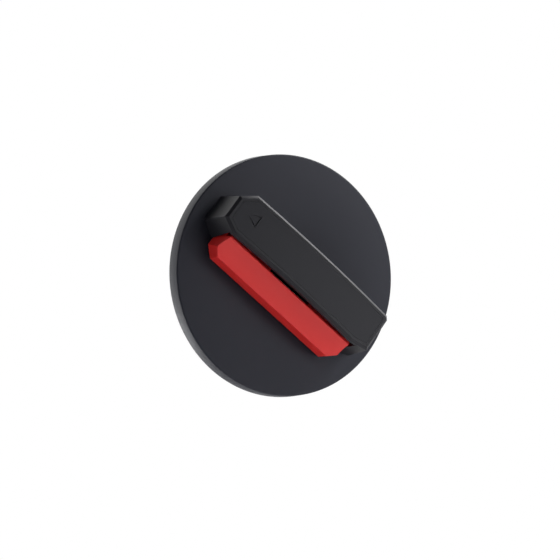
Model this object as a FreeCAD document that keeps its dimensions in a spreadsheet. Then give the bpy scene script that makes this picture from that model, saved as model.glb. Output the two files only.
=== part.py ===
"""Panel-mounted seacock: quarter-turn ball valve behind a round cover disc.

The disc's back face lies on the panel at y = 0 and the handle points towards -Y, with +Z up.
The turning axis is the Y axis. The water way runs along Z behind the panel.
Heights on the handle are measured from the disc's front face, towards -Y.
"""
import FreeCAD, Part
import os
import re
import Sketcher

SIZES = {
    # cover disc
    "disc_radius": 60.0,
    "disc_draft": 0.5,
    "disc_thick": 8.0,
    "disc_plate": 3.0,
    "edge_round": 0.8,
    "rim_width": 6.0,
    "land_outer": 42.0,
    "gasket_inset": 2.1,
    "gasket_width": 2.6,
    "gasket_depth": 1.6,
    # fixings in the disc
    "panel_pitch": 48.0,
    "panel_angle": 45.0,
    "insert_outer": 3.2,
    "insert_bore": 2.1,
    "insert_length": 5.5,
    "insert_boss": 6.6,
    "bonnet_span_x": 27.0,
    "bonnet_span_z": 10.0,
    "small_insert_outer": 2.6,
    "small_insert_bore": 1.65,
    "small_insert_length": 5.0,
    "bonnet_screw_core": 1.6,
    "bonnet_screw_hole": 2.15,
    "bonnet_screw_reach": 4.6,
    "bonnet_head_radius": 3.4,
    "bonnet_head_height": 3.8,
    "bonnet_socket": 1.7,
    # index ring
    "index_inner": 13.8,
    "index_outer": 19.0,
    "index_gap": 0.1,
    "index_tab": 2.5,
    "notch_depth": 2.6,
    "notch_half": 3.8,
    # handle
    "rest_angle": 45.0,
    "grip_half_length": 50.5,
    "grip_tail_length": 49.4,
    "grip_half_width": 11.75,
    "grip_flare": 1.6,
    "grip_lift": 1.3,
    "edge_height": 20.5,
    "arch_rise": 3.5,
    "bevel": 1.2,
    "arrow_cut_long": 7.2,
    "arrow_cut_wide": 6.3,
    "lower_cut_long": 8.0,
    "lower_cut_wide": 4.3,
    "tail_cut": 1.7,
    "tail_lower_long": 10.5,
    "tail_lower_wide": 2.6,
    "hollow_half_length": 44.0,
    "hollow_half_width": 9.0,
    "hollow_height": 18.5,
    "boss_radius": 8.4,
    "hub_radius": 12.5,
    "hub_gap": 0.3,
    "hub_depth": 6.5,
    "slot_half": 6.0,
    "slot_inner": 6.7,
    "slot_height": 15.0,
    "cover_land": 1.5,
    "cover_gap": 0.12,
    "cover_thick": 1.6,
    "cover_bed": 0.1,
    "arrow_tip": 43.0,
    "arrow_length": 7.0,
    "arrow_half": 3.2,
    "arrow_offset": 0.7,
    "arrow_line": 0.45,
    "arrow_depth": 0.3,
    # drive
    "insert_half_flats": 6.0,
    "drive_half": 4.0,
    "drive_gap": 0.05,
    "drive_height": 11.5,
    "web_thick": 3.0,
    "stem_end_height": 12.0,
    "washer_bore": 3.3,
    "washer_outer": 6.2,
    "washer_thick": 1.2,
    "screw_pocket": 6.5,
    "screw_core": 2.45,
    "screw_bore": 2.5,
    "screw_head_radius": 5.0,
    "screw_head_height": 4.0,
    "screw_socket": 2.3,
    "screw_length": 15.0,
    # squeeze trigger and latch
    "trigger_half_length": 43.0,
    "trigger_reach": 21.5,
    "trigger_inner": 7.0,
    "trigger_lift": 1.4,
    "trigger_ridge": 10.0,
    "trigger_top": 17.8,
    "trigger_step": 12.6,
    "trigger_lip_thick": 0.7,
    "trigger_lip": 12.2,
    "finger_radius": 16.0,
    "trigger_cut_long": 5.0,
    "trigger_cut_wide": 4.8,
    "trigger_gap": 0.4,
    "trigger_top_gap": 0.6,
    "trigger_end_slant": 2.2,
    "mouth_eave": 2.0,
    "squeeze_travel": 2.8,
    "relief_half": 13.0,
    "ear_length": 0.8,
    "ear_gap": 0.2,
    "core_half_length": 24.0,
    "core_wall": 2.3,
    "core_width": 5.2,
    "core_height": 8.0,
    "latch_outer": "=hub_radius - 0.9",
    "latch_thick": 2.0,
    "latch_wing": 11.5,
    "latch_wing_low": 4.5,
    "latch_wing_high": 13.5,
    "latch_leg": 4.4,
    "tooth_half": 3.0,
    "tooth_reach": 13.1,
    "tooth_gap": 0.6,
    "tooth_thick": 2.4,
    "latch_screw_span": 8.5,
    "latch_screw_height": 9.0,
    "latch_screw_core": 1.2,
    "latch_screw_head": 2.4,
    "latch_screw_sink": 1.3,
    "latch_screw_length": 7.0,
    # guides and return springs
    "guide_span": 30.0,
    "guide_height": 6.0,
    "guide_radius": 2.0,
    "guide_fit": 0.08,
    "guide_pin_length": 20.0,
    "guide_grip": 6.5,
    "guide_boss_half": 4.5,
    "guide_boss_face": 1.0,
    "guide_boss_low": 1.6,
    "spring_pocket": 3.7,
    "spring_pocket_depth": 6.0,
    "spring_mean": 2.8,
    "spring_wire": 0.45,
    "spring_turns": 6.0,
    "spring_end_gap": 0.05,
    # valve body
    "flange_radius": 34.0,
    "flange_thick": 5.0,
    "flange_recess": 1.0,
    "flange_gap": 0.6,
    "neck_radius": 15.0,
    "gland_bore": 11.0,
    "gland_bore_end": 8.6,
    "packing_bore": 9.5,
    "neck_floor": 16.8,
    "neck_floor_thick": 3.2,
    "thrust_bore": 9.0,
    "ball_depth": 39.4,
    "barrel_radius": 21.5,
    "barrel_end": 20.5,
    "port_radius": 16.5,
    "port_end": 30.0,
    "port_thread": 12.06,
    "port_thread_length": 12.0,
    "water_bore": "=ball_radius * 0.59375",
    "chamber_radius": 17.5,
    "seat_face": "=ball_radius * 0.6875",
    "seat_back": 17.0,
    "seat_outer": 15.0,
    "seat_gap": 0.1,
    "adapter_bore": 19.0,
    "adapter_start": 11.5,
    "drain_boss": 6.0,
    "drain_face": 25.5,
    "drain_bore": 3.4,
    # stem, stops and seals
    "stem_radius": 6.0,
    "stem_fit": 0.08,
    "stem_round_start": 2.9,
    "shoulder_radius": 8.4,
    "shoulder_thick": 2.0,
    "thrust_thick": 1.0,
    "tang_half_thick": 2.9,
    "tang_half_length": 6.0,
    "tang_depth": 5.0,
    "tang_gap": 0.1,
    "ball_radius": 16.0,
    "ball_fit": 0.05,
    "stem_seal_radius": 0.75,
    "stem_seal_place": 18.4,
    "stop_radius": 9.5,
    "stop_start": 0.2,
    "stop_thick": 2.2,
    "stop_gap": 0.4,
    "lug_half": 3.0,
    "lug_reach": 14.0,
    "lug_gap": 0.5,
    "lug_play": 0.8,
    "gland_start": 3.2,
    "gland_thick": 5.0,
    "gland_thread_gap": 0.05,
    "gland_slot_half": 1.5,
    "gland_slot_depth": 1.8,
    "follower_thick": 2.4,
    "packing_rings": 3.0,
    "packing_split": 0.1,
    # end adapter
    "adapter_thread_gap": 0.1,
    "adapter_collar": 4.8,
    "adapter_seal_radius": 0.85,
    "adapter_seal_inset": 1.4,
    # drain plug
    "plug_washer_thick": 0.8,
    "plug_washer_outer": 5.6,
    "plug_head_height": 3.6,
    "plug_half_flats": 5.0,
    "plug_thread_gap": 0.05,
}

doc = FreeCAD.newDocument("PanelSeacock")
sheet = doc.addObject("Spreadsheet::Sheet", "Sizes")
for row, (name, number) in enumerate(SIZES.items(), start=1):
    sheet.set(f"A{row}", name)
    sheet.set(f"B{row}", str(number))
    sheet.setAlias(f"B{row}", name)
doc.recompute()

NODES = []
ALONG_Y = FreeCAD.Rotation(FreeCAD.Vector(1, 0, 0), -90)
ALONG_X = FreeCAD.Rotation(FreeCAD.Vector(0, 1, 0), 90)
UPRIGHT = FreeCAD.Rotation()


def qualified(formula):
    """The formula with each size's name pointing at the sheet."""
    return re.sub(r"[a-z_]+", lambda word: "Sizes." + word[0] if word[0] in SIZES else word[0], formula)


def value(formula):
    """What a formula in the sheet's names comes to."""
    return float(sheet.evalExpression(formula))


def bind(item, formulas):
    """Tie properties of an object to formulas in the sheet's names."""
    for prop, formula in formulas.items():
        item.setExpression(prop, qualified(formula))


def place(item, x="0", y="0", z="0", turn=UPRIGHT):
    """Put an object at a place given by formulas, turned by a fixed rotation."""
    item.Placement = FreeCAD.Placement(FreeCAD.Vector(0, 0, 0), turn)
    bind(item, {"Placement.Base.x": x, "Placement.Base.y": y, "Placement.Base.z": z})
    return item


def node(item, label):
    """Mark an object as a finished sub-part under its own label."""
    item.Label = label
    NODES.append(item)
    return item


def on_handle(item):
    """Turn a piece modelled along X to the handle's diagonal rest position."""
    item.Placement.Rotation = FreeCAD.Rotation(FreeCAD.Vector(0, 1, 0), 1)
    bind(item, {"Placement.Rotation.Angle": "rest_angle"})
    return item


# ---------------------------------------------------------------- part design helpers


def new_body(name):
    return doc.addObject("PartDesign::Body", name)


def sketch_in(body, plane, height="0"):
    """Sketch on one of the body's origin planes, moved out along its normal.

    XZ_Plane faces -Y, so a height there is a distance towards the front.
    """
    sketch = body.newObject("Sketcher::SketchObject", body.Name + "_sketch")
    support = [item for item in body.Origin.OriginFeatures if item.Role == plane]
    sketch.AttachmentSupport = [(support[0], "")]
    sketch.MapMode = "FlatFace"
    bind(sketch, {"AttachmentOffset.Base.z": height})
    return sketch


def hold_point(sketch, edge, end, x, y):
    """Fix one point of a sketch edge at x, y from the sketch's origin."""
    for kind, formula in (("DistanceX", x), ("DistanceY", y)):
        rule = sketch.addConstraint(Sketcher.Constraint(kind, -1, 1, edge, end, value(formula)))
        bind(sketch, {f"Constraints[{rule}]": formula})


def arc_between(start, end, radius):
    """Arc from start to end, its centre on the left for a positive radius, on the right for a negative one."""
    if radius < 0:
        start, end = end, start
    chord = end - start
    left = FreeCAD.Vector(-chord.y, chord.x, 0).normalize()
    centre = (start + end) / 2 + left * (radius**2 - chord.Length**2 / 4) ** 0.5
    circle = Part.Circle(centre, FreeCAD.Vector(0, 0, 1), abs(radius))
    return Part.ArcOfCircle(circle, circle.parameter(start), circle.parameter(end))


def draw_outline(sketch, corners):
    """Closed outline through corners (x, y), or (x, y, radius) where an arc leads to the next corner."""
    points = [FreeCAD.Vector(value(corner[0]), value(corner[1]), 0) for corner in corners]
    ends = []
    for k, corner in enumerate(corners):
        start, end = points[k], points[(k + 1) % len(points)]
        if len(corner) == 2:
            edge = sketch.addGeometry(Part.LineSegment(start, end), False)
            ends.append((edge, 1, 2))
            continue
        radius = value(corner[2])
        edge = sketch.addGeometry(arc_between(start, end, radius), False)
        rule = sketch.addConstraint(Sketcher.Constraint("Radius", edge, abs(radius)))
        bind(sketch, {f"Constraints[{rule}]": f"abs({corner[2]})"})
        ends.append((edge, 1, 2) if radius > 0 else (edge, 2, 1))
    for k, corner in enumerate(corners):
        edge, first, last = ends[k]
        following, following_first, _ = ends[(k + 1) % len(ends)]
        sketch.addConstraint(Sketcher.Constraint("Coincident", edge, last, following, following_first))
        hold_point(sketch, edge, first, corner[0], corner[1])


def draw_rectangle(sketch, x_low, x_high, y_low, y_high):
    draw_outline(sketch, [(x_low, y_low), (x_high, y_low), (x_high, y_high), (x_low, y_high)])


def draw_circle(sketch, radius, x="0", y="0"):
    centre = FreeCAD.Vector(value(x), value(y), 0)
    edge = sketch.addGeometry(Part.Circle(centre, FreeCAD.Vector(0, 0, 1), value(radius)), False)
    rule = sketch.addConstraint(Sketcher.Constraint("Radius", edge, value(radius)))
    bind(sketch, {f"Constraints[{rule}]": radius})
    hold_point(sketch, edge, 3, x, y)


def draw_hexagon(sketch, half_flats, x="0", y="0"):
    """Hexagon with two corners on the sketch's horizontal line through its centre."""
    long, short = f"({half_flats}) * 2 / sqrt(3)", f"({half_flats}) / sqrt(3)"
    steps = [(long, "0"), (short, half_flats), ("-" + short, half_flats)]
    steps += [("-" + long, "0"), ("-" + short, f"-({half_flats})"), (short, f"-({half_flats})")]
    draw_outline(sketch, [(f"{x} + {step[0]}", f"{y} + {step[1]}") for step in steps])


def swept(body, kind, sketch, length, against=False):
    """Pad or pocket a sketch by a length; against turns it to the other side of the sketch."""
    feature = body.newObject("PartDesign::" + kind, body.Name + "_" + kind.lower())
    feature.Profile = sketch
    feature.Reversed = against
    bind(feature, {"Length": length})
    return feature


def pad(body, sketch, length, against=False):
    """Add material along the sketch's normal, or behind it."""
    return swept(body, "Pad", sketch, length, against)


def pocket(body, sketch, length, outwards=False):
    """Cut material behind the sketch, or outwards along its normal."""
    return swept(body, "Pocket", sketch, length, outwards)


def turn_profile(body, kind, corners, plane="XY_Plane", height="0"):
    """Revolution or Groove of an outline of (radius, place) corners about the sketch's vertical axis."""
    sketch = sketch_in(body, plane, height)
    draw_outline(sketch, corners)
    feature = body.newObject("PartDesign::" + kind, body.Name + "_" + kind.lower())
    feature.Profile = sketch
    feature.ReferenceAxis = (sketch, ["V_Axis"])
    feature.Angle = 360
    return feature


def turned(name, corners, plane="XY_Plane", height="0"):
    """Body turned about the Y axis, or about the water way when its sketch lies on XZ."""
    body = new_body(name)
    turn_profile(body, "Revolution", corners, plane, height)
    return body


def ring(name, inner, outer, start, end):
    """Plain ring about the Y axis from start to end."""
    return turned(name, [(inner, start), (outer, start), (outer, end), (inner, end)])


def four_places(pitch, angle):
    """Formulas for four places on a circle."""
    return [
        (f"({pitch}) * cos(({angle} + {90 * k}) * 1deg)", f"({pitch}) * sin(({angle} + {90 * k}) * 1deg)")
        for k in range(4)
    ]


# ---------------------------------------------------------------- part primitives


def cylinder(radius, length, turn=UPRIGHT, x="0", y="0", z="0"):
    """Cylinder that starts at x, y, z and runs along its turned axis."""
    item = doc.addObject("Part::Cylinder", "cylinder")
    bind(item, {"Radius": radius, "Height": length})
    return place(item, x, y, z, turn)


def hexagon_bar(half_flats, length, turn, x, y, z):
    item = doc.addObject("Part::Prism", "hexagon_bar")
    item.Polygon = 6
    bind(item, {"Circumradius": f"({half_flats}) * 2 / sqrt(3)", "Height": length})
    return place(item, x, y, z, turn)


def torus(major, minor, turn=UPRIGHT, x="0", y="0", z="0"):
    item = doc.addObject("Part::Torus", "torus")
    bind(item, {"Radius1": major, "Radius2": minor})
    return place(item, x, y, z, turn)


def fuse(*items):
    whole = doc.addObject("Part::MultiFuse", "joined")
    whole.Shapes = list(items)
    return whole


def cut(base, *tools):
    piece = doc.addObject("Part::Cut", "cut")
    piece.Base = base
    piece.Tool = tools[0] if len(tools) == 1 else fuse(*tools)
    return piece


def group(items):
    """Identical separate pieces kept as one sub-part."""
    whole = doc.addObject("Part::Compound", "group")
    whole.Links = list(items)
    return whole


# ---------------------------------------------------------------- shared places

DISC_FRONT = "-disc_thick"
PLATE_BACK = "-(disc_thick - disc_plate)"
DISC_BACK_RADIUS = "disc_radius + disc_draft"
FLANGE_FRONT = "-flange_recess"
FLANGE_BACK = "flange_thick - flange_recess"
HUB_HOLE = "hub_radius + hub_gap"
ARCH_RADIUS = "((grip_half_length^2 + arch_rise^2) / (2 * arch_rise))"
PANEL_PLACES = four_places("panel_pitch", "panel_angle")
BONNET_PLACES = [(f"{x}bonnet_span_x", f"{z}bonnet_span_z") for x in ("", "-") for z in ("", "-")]
LATCH_SCREW_PLACES = ("-latch_screw_span", "latch_screw_span")
GUIDE_PLACES = ("-guide_span", "guide_span")


def front(height):
    """Y of a height above the disc's front face."""
    return f"-(disc_thick + {height})"


def arch_height(along, below):
    """Height of the handle's arched top at a distance along it, less a depth below it."""
    rise = f"sqrt({ARCH_RADIUS}^2 - ({along})^2) - {ARCH_RADIUS}"
    return f"(edge_height + bevel + arch_rise - ({below}) + {rise})"


# ---------------------------------------------------------------- cover disc and its fixings


def cover_disc():
    """Moulded disc: front plate, outer rim on the panel, centre land round the cut-out, four insert bosses."""
    body = new_body("cover_disc")
    rim_inner = f"{DISC_BACK_RADIUS} - rim_width"
    gasket_outer = f"{DISC_BACK_RADIUS} - gasket_inset"
    gasket_inner = f"{gasket_outer} - gasket_width"
    recess = "flange_radius + flange_gap"
    index_seat = "index_outer + index_gap"
    turn_profile(body, "Revolution", [
        (HUB_HOLE, DISC_FRONT), ("disc_radius - edge_round", DISC_FRONT, "edge_round"),
        ("disc_radius", f"{DISC_FRONT} + edge_round"), (DISC_BACK_RADIUS, "0"),
        (gasket_outer, "0"), (gasket_outer, "-gasket_depth"),
        (gasket_inner, "-gasket_depth"), (gasket_inner, "0"),
        (rim_inner, "0"), (rim_inner, PLATE_BACK), ("land_outer", PLATE_BACK), ("land_outer", "0"),
        (recess, "0"), (recess, FLANGE_FRONT), (index_seat, FLANGE_FRONT), (index_seat, PLATE_BACK),
        (HUB_HOLE, PLATE_BACK),
    ])
    bosses = sketch_in(body, "XZ_Plane")
    for x, z in PANEL_PLACES:
        draw_circle(bosses, "insert_boss", x, z)
    pad(body, bosses, "disc_thick - disc_plate + disc_plate / 2")
    holes = sketch_in(body, "XZ_Plane")
    for x, z in PANEL_PLACES:
        draw_circle(holes, "insert_outer", x, z)
    pocket(body, holes, "insert_length + 0.3", outwards=True)
    small_holes = sketch_in(body, "XZ_Plane", "flange_recess")
    for x, z in BONNET_PLACES:
        draw_circle(small_holes, "small_insert_outer", x, z)
    pocket(body, small_holes, "small_insert_length + 0.3", outwards=True)
    tabs = sketch_in(body, "XZ_Plane", "flange_recess")
    reach, half = "index_outer + index_tab + index_gap", "index_tab + index_gap"
    draw_rectangle(tabs, f"-({reach})", reach, f"-({half})", half)
    pocket(body, tabs, "disc_thick - disc_plate - flange_recess", outwards=True)
    return node(body, "cover_disc")


def threaded_inserts(name, places, outer, bore, length, start):
    """Brass sleeves set in blind holes, flush with the face they are set in."""
    body = new_body(name)
    sketch = sketch_in(body, "XZ_Plane", start)
    for x, z in places:
        draw_circle(sketch, outer, x, z)
        draw_circle(sketch, bore, x, z)
    pad(body, sketch, length)
    return node(body, name)


def panel_gasket():
    outer = f"{DISC_BACK_RADIUS} - gasket_inset"
    return node(ring("panel_gasket", f"{outer} - gasket_width", outer, "-gasket_depth", "0"), "panel_gasket")


def index_ring():
    """Steel ring with a notch for the latch tooth at each end of the handle's turn."""
    body = new_body("index_ring")
    length = "disc_thick - disc_plate - flange_recess"
    blank = sketch_in(body, "XZ_Plane", "flange_recess")
    draw_circle(blank, "index_outer")
    pad(body, blank, length)
    tabs = sketch_in(body, "XZ_Plane", "flange_recess")
    draw_rectangle(tabs, "-(index_outer + index_tab)", "index_outer + index_tab", "-index_tab", "index_tab")
    pad(body, tabs, length)
    bore = sketch_in(body, "XZ_Plane", "flange_recess")
    draw_circle(bore, "index_inner")
    pocket(body, bore, length, outwards=True)
    for edges in (("-reach", "0", "-half", "half"), ("-half", "half", "-reach", "0")):
        notch = sketch_in(body, "XZ_Plane", "flange_recess")
        sizes = {"-reach": "-(index_inner + notch_depth)", "-half": "-notch_half", "half": "notch_half"}
        draw_rectangle(notch, *[sizes.get(edge, edge) for edge in edges])
        pocket(body, notch, length, outwards=True)
    return node(body, "index_ring")


# ---------------------------------------------------------------- handle


def corner_cut(long, wide, inset):
    """The two legs of a cut corner after the whole outline has moved in by inset."""
    scale = f"(1 + ({inset}) * (sqrt({long}^2 + {wide}^2) - {long} - {wide}) / ({long} * {wide}))"
    return f"{long} * {scale}", f"{wide} * {scale}"


def draw_grip_plan(sketch, inset, tail_cut=True):
    """The handle's eight-sided plan, moved in by inset: arrow end at -X, squeezed side at -Z."""
    length, width = f"(grip_half_length - ({inset}))", f"(grip_half_width - ({inset}))"
    tail = f"(grip_tail_length - ({inset}))"
    arrow_long, arrow_wide = corner_cut("arrow_cut_long", "arrow_cut_wide", inset)
    lower_long, lower_wide = corner_cut("lower_cut_long", "lower_cut_wide", inset)
    tail_long, tail_wide = corner_cut("tail_lower_long", "tail_lower_wide", inset)
    corners = [
        (f"-{length} + {lower_long}", f"-{width}"),
        (f"{tail} - {tail_long}", f"-{width}"), (tail, f"-{width} + {tail_wide}"),
    ]
    if tail_cut:
        tail_corner, _ = corner_cut("tail_cut", "tail_cut", inset)
        corners += [(tail, f"{width} - {tail_corner}"), (f"{tail} - {tail_corner}", width)]
    else:
        corners += [(tail, width)]
    corners += [
        (f"-{length} + {arrow_long}", width), (f"-{length}", f"{width} - {arrow_wide}"),
        (f"-{length}", f"-{width} + {lower_wide}"),
    ]
    draw_outline(sketch, corners)


def arch_cut(body, below, keep_under):
    """Cut a body to the handle's arch moved down by a depth, keeping what is under it or over it."""
    sketch = sketch_in(body, "XY_Plane")
    end = "grip_half_length + 4"
    shoulder = front(arch_height(end, below))
    limit = front("edge_height * 2") if keep_under else front("0")
    draw_outline(sketch, [
        (f"-({end})", shoulder, ARCH_RADIUS), (end, shoulder), (end, limit), (f"-({end})", limit),
    ])
    feature = pocket(body, sketch, "grip_half_width * 4")
    feature.Midplane = True
    return feature


def handle_grip():
    """Moulded bar handle: flared walls, arched and bevelled top, hollow under its roof, hub on the turning axis."""
    body = new_body("grip_moulding")
    base = sketch_in(body, "XZ_Plane", "disc_thick + grip_lift")
    draw_grip_plan(base, "-grip_flare")
    blank = pad(body, base, "edge_height * 1.6")
    doc.recompute()
    walls, floor = walls_and_floor(blank.Shape)
    draft = body.newObject("PartDesign::Draft", "grip_draft")
    draft.Base = (blank, walls)
    draft.NeutralPlane = (blank, floor)
    draft.Reversed = True
    doc.recompute()
    bind(draft, {"Angle": "atan(grip_flare / (edge_height - grip_lift))"})
    doc.recompute()
    arched = arch_cut(body, "0", keep_under=True)
    doc.recompute()
    bevel = body.newObject("PartDesign::Chamfer", "grip_bevel")
    bevel.Base = (arched, top_edges(arched.Shape))
    bind(bevel, {"Size": "bevel"})

    hollow = sketch_in(body, "XZ_Plane", "disc_thick + grip_lift")
    draw_rectangle(hollow, "-hollow_half_length", "hollow_half_length",
                   "-hollow_half_width", "hollow_half_width")
    pocket(body, hollow, "hollow_height - grip_lift", outwards=True)
    mouth = sketch_in(body, "XZ_Plane", "disc_thick + grip_lift")
    draw_rectangle(mouth, "-(trigger_half_length + trigger_gap)", "trigger_half_length + trigger_gap",
                   "-(grip_half_width * 2)", "-hollow_half_width + 0.1")
    pocket(body, mouth, "trigger_top + trigger_top_gap - grip_lift", outwards=True)

    guides = sketch_in(body, "XZ_Plane", "disc_thick + guide_boss_low")
    for x in GUIDE_PLACES:
        draw_rectangle(guides, f"{x} - guide_boss_half", f"{x} + guide_boss_half",
                       "-guide_boss_face", "hollow_half_width + 0.5")
    pad(body, guides, "hollow_height + 0.5 - guide_boss_low")
    boss = sketch_in(body, "XZ_Plane", "disc_thick")
    draw_circle(boss, "boss_radius")
    pad(body, boss, "hollow_height + 0.5")
    hub = sketch_in(body, "XZ_Plane", "disc_thick + grip_lift")
    draw_circle(hub, "hub_radius")
    pad(body, hub, "grip_lift + hub_depth", against=True)

    slot = sketch_in(body, "XZ_Plane", "disc_thick - hub_depth")
    draw_rectangle(slot, "-slot_half", "slot_half", "-(hub_radius + 1)", "-slot_inner")
    pocket(body, slot, "hub_depth + slot_height", outwards=True)
    socket = sketch_in(body, "XZ_Plane", "disc_thick - hub_depth")
    draw_hexagon(socket, "insert_half_flats")
    pocket(body, socket, "hub_depth + stem_end_height + 0.4", outwards=True)
    bores = (("screw_pocket", "stem_end_height + 0.4 + web_thick"), ("washer_bore", "stem_end_height"))
    for radius, floor in bores:
        bore = sketch_in(body, "XZ_Plane", "disc_thick + edge_height * 1.6")
        draw_circle(bore, radius)
        pocket(body, bore, f"edge_height * 1.6 - ({floor})")
    pin_holes = sketch_in(body, "XY_Plane", "-guide_boss_face")
    for x in GUIDE_PLACES:
        draw_circle(pin_holes, "guide_radius", x, front("guide_height"))
    pocket(body, pin_holes, "guide_grip", outwards=True)

    bed = new_body("cover_bed")
    plan = sketch_in(bed, "XZ_Plane", "disc_thick + hollow_height")
    draw_grip_plan(plan, "bevel + cover_land", tail_cut=False)
    pad(bed, plan, "edge_height")
    arch_cut(bed, "cover_thick + cover_bed", keep_under=False)
    arched_mouth = new_body("mouth_relief")
    plan = sketch_in(arched_mouth, "XZ_Plane", "disc_thick + trigger_top")
    draw_rectangle(plan, "-(trigger_half_length + trigger_gap)", "trigger_half_length + trigger_gap",
                   "-(grip_half_width * 1.5)", "-hollow_half_width + 0.5")
    pad(arched_mouth, plan, "edge_height")
    arch_cut(arched_mouth, "bevel + mouth_eave", keep_under=True)
    return node(on_handle(cut(body, bed, arched_mouth)), "handle_grip")


def walls_and_floor(shape):
    """Names of a prism's side faces and of its face nearest the disc."""
    floor = max(shape.Faces, key=lambda face: face.CenterOfMass.y)
    walls = [
        f"Face{k}" for k, face in enumerate(shape.Faces, start=1)
        if abs(face.normalAt(0, 0).y) < 0.5
    ]
    named = [f"Face{k}" for k, face in enumerate(shape.Faces, start=1) if face.isSame(floor)]
    return walls, named


def top_edges(shape):
    """Names of the edges round the arched top face, the face that lies furthest forward."""
    top = min(shape.Faces, key=lambda face: face.CenterOfMass.y)
    return [
        f"Edge{k}" for k, edge in enumerate(shape.Edges, start=1)
        if any(edge.isSame(rim) for rim in top.Edges)
    ]


def arrow_cover():
    """Thin panel let into the handle's top, with an engraved triangle that points to the set position."""
    body = new_body("arrow_panel")
    plan = sketch_in(body, "XZ_Plane", "disc_thick + hollow_height")
    draw_grip_plan(plan, "bevel + cover_land + cover_gap", tail_cut=False)
    pad(body, plan, "edge_height")
    arch_cut(body, "cover_thick", keep_under=False)
    arch_cut(body, "0", keep_under=True)
    above = "edge_height * 2"
    triangle = sketch_in(body, "XZ_Plane", f"disc_thick + {above}")
    base = "-(arrow_tip - arrow_length)"
    side = "sqrt(arrow_length^2 + arrow_half^2)"
    tip_inset, base_inset = f"arrow_line * {side} / arrow_half", "arrow_line"
    half_inset = f"arrow_half * (arrow_length - ({tip_inset}) - {base_inset}) / arrow_length"
    draw_outline(triangle, [
        ("-arrow_tip", "arrow_offset"),
        (base, "arrow_offset - arrow_half"), (base, "arrow_offset + arrow_half"),
    ])
    draw_outline(triangle, [
        (f"-arrow_tip + {tip_inset}", "arrow_offset"),
        (f"{base} - {base_inset}", f"arrow_offset - {half_inset}"),
        (f"{base} - {base_inset}", f"arrow_offset + {half_inset}"),
    ])
    floor = arch_height("arrow_tip - arrow_length / 2", "arrow_depth")
    pocket(body, triangle, f"{above} - {floor}")
    return node(on_handle(body), "arrow_cover")


def drive_insert():
    """Brass hexagon moulded into the hub, with the square that drives the stem."""
    body = new_body("drive_sleeve")
    sketch = sketch_in(body, "XZ_Plane", "disc_thick - hub_depth")
    draw_hexagon(sketch, "insert_half_flats")
    half = "drive_half + drive_gap"
    draw_rectangle(sketch, f"-({half})", half, f"-({half})", half)
    pad(body, sketch, "hub_depth + drive_height")
    return node(on_handle(body), "drive_insert")


def handle_fastening():
    """Cap screw and washer that hold the handle on the stem."""
    web = "stem_end_height + 0.4 + web_thick"
    washer = ring("washer_plate", "washer_bore", "washer_outer", front(f"{web} + washer_thick"), front(web))
    node(on_handle(washer), "handle_washer")
    seat = f"{web} + washer_thick"
    head_front = front(f"{seat} + screw_head_height")
    head = cylinder("screw_head_radius", "screw_head_height", ALONG_Y, y=head_front)
    shank = cylinder("screw_core", "screw_length", ALONG_Y, y=front(seat))
    socket = hexagon_bar("screw_socket", "screw_head_height / 2", ALONG_Y, "0", head_front, "0")
    node(on_handle(cut(fuse(head, shank), socket)), "handle_screw")


# ---------------------------------------------------------------- squeeze trigger


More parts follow.
